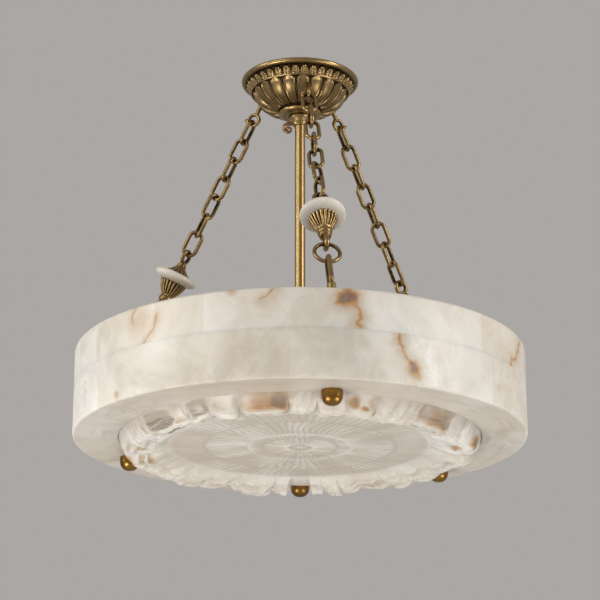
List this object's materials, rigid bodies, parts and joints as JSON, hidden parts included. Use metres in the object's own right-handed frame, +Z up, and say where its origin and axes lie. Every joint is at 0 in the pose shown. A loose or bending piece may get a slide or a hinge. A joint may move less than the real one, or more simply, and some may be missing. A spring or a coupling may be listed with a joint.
{
  "type": "ceiling light",
  "caption": "Alabaster drum ceiling light hung from a brass canopy by a centre rod and beaded chains, with a carved stone dish below, dome finials and candle bulbs inside.",
  "frame": {"origin": "middle of the ceiling plane, between the two screw holes of the ceiling bracket", "axes": "+Z up into the ceiling; -Y towards the front, where the picture was taken; +X to the right"},
  "size_m": [0.5, 0.5, 0.455],
  "materials": {
    "aged_brass": "antique, dark in the recesses",
    "polished_brass": "satin, worn brighter",
    "alabaster": "honed, clouded and veined",
    "steel": "zinc plated",
    "holder_sleeve": "satin cream",
    "bulb_glass": "frosted"
  },
  "bodies": {
    "fixed_frame": {"ceiling_bracket": "steel", "nipple": "steel", "bracket_nuts": "steel", "canopy": "aged_brass", "rod_neck": "aged_brass", "scroll_hook": "aged_brass", "centre_rod": "polished_brass", "drum_upper_course": "alabaster", "drum_lower_course": "alabaster", "carved_dish": "alabaster", "petal_border": "alabaster", "cluster_body": "aged_brass", "cluster_nut": "aged_brass", "arm_nuts": "aged_brass", "rear_stud": "aged_brass", "front_canopy_eye": "aged_brass", "front_chain_links": "aged_brass", "front_bead_stem": "aged_brass", "front_bead_foot": "aged_brass", "front_chain_ring": "aged_brass", "front_eye_stud": "aged_brass", "front_arm": "aged_brass", "front_lampholder": "holder_sleeve", "right_canopy_eye": "aged_brass", "right_chain_links": "aged_brass", "right_bead_stem": "aged_brass", "right_bead_foot": "aged_brass", "right_chain_ring": "aged_brass", "right_eye_stud": "aged_brass", "right_arm": "aged_brass", "right_lampholder": "holder_sleeve", "left_canopy_eye": "aged_brass", "left_chain_links": "aged_brass", "left_bead_stem": "aged_brass", "left_bead_foot": "aged_brass", "left_chain_ring": "aged_brass", "left_eye_stud": "aged_brass", "left_arm": "aged_brass", "left_lampholder": "holder_sleeve"},
    "canopy_collar_nut": {"canopy_collar": "aged_brass"},
    "rear_finial_nut": {"rear_finial": "polished_brass"},
    "front_bead": {"front_upper_bell": "aged_brass", "front_bead_disc": "alabaster", "front_lower_bell": "aged_brass"},
    "front_finial_nut": {"front_finial": "polished_brass"},
    "front_lamp_bulb": {"front_bulb": "bulb_glass"},
    "right_bead": {"right_upper_bell": "aged_brass", "right_bead_disc": "alabaster", "right_lower_bell": "aged_brass"},
    "right_finial_nut": {"right_finial": "polished_brass"},
    "right_lamp_bulb": {"right_bulb": "bulb_glass"},
    "left_bead": {"left_upper_bell": "aged_brass", "left_bead_disc": "alabaster", "left_lower_bell": "aged_brass"},
    "left_finial_nut": {"left_finial": "polished_brass"},
    "left_lamp_bulb": {"left_bulb": "bulb_glass"}
  },
  "joints": [
    {"name": "canopy_collar_turn", "type": "hinge", "parent": "fixed_frame", "child": "canopy_collar_nut", "pos_m": [0, 0, -0.043], "axis": [0, 0, 1], "continuous": true},
    {"name": "rear_finial_turn", "type": "hinge", "parent": "fixed_frame", "child": "rear_finial_nut", "pos_m": [0, 0.207, -0.441], "axis": [0, 0, 1], "continuous": true},
    {"name": "front_bead_spin", "type": "hinge", "parent": "fixed_frame", "child": "front_bead", "pos_m": [0.02415, -0.15248, -0.225], "axis": [-0.0728, 0.4599, 0.885], "continuous": true},
    {"name": "front_finial_turn", "type": "hinge", "parent": "fixed_frame", "child": "front_finial_nut", "pos_m": [0.03238, -0.20445, -0.441], "axis": [0, 0, 1], "continuous": true},
    {"name": "front_bulb_screw", "type": "hinge", "parent": "fixed_frame", "child": "front_lamp_bulb", "pos_m": [0.05975, -0.02294, -0.359], "axis": [0.9336, -0.3584, 0], "continuous": true},
    {"name": "right_bead_spin", "type": "hinge", "parent": "fixed_frame", "child": "right_bead", "pos_m": [0.12881, 0.1043, -0.24659], "axis": [-0.3619, -0.293, 0.885], "continuous": true},
    {"name": "right_finial_turn", "type": "hinge", "parent": "fixed_frame", "child": "right_finial_nut", "pos_m": [0.16087, 0.13027, -0.441], "axis": [0, 0, 1], "continuous": true},
    {"name": "right_bulb_screw", "type": "hinge", "parent": "fixed_frame", "child": "right_lamp_bulb", "pos_m": [-0.01001, 0.06321, -0.359], "axis": [-0.1564, 0.9877, 0], "continuous": true},
    {"name": "left_bead_spin", "type": "hinge", "parent": "fixed_frame", "child": "left_bead", "pos_m": [-0.14413, 0.05532, -0.225], "axis": [0.4347, -0.1669, 0.885], "continuous": true},
    {"name": "left_finial_turn", "type": "hinge", "parent": "fixed_frame", "child": "left_finial_nut", "pos_m": [-0.19325, 0.07418, -0.441], "axis": [0, 0, 1], "continuous": true},
    {"name": "left_bulb_screw", "type": "hinge", "parent": "fixed_frame", "child": "left_lamp_bulb", "pos_m": [-0.04974, -0.04028, -0.359], "axis": [-0.7771, -0.6293, 0], "continuous": true}
  ]
}
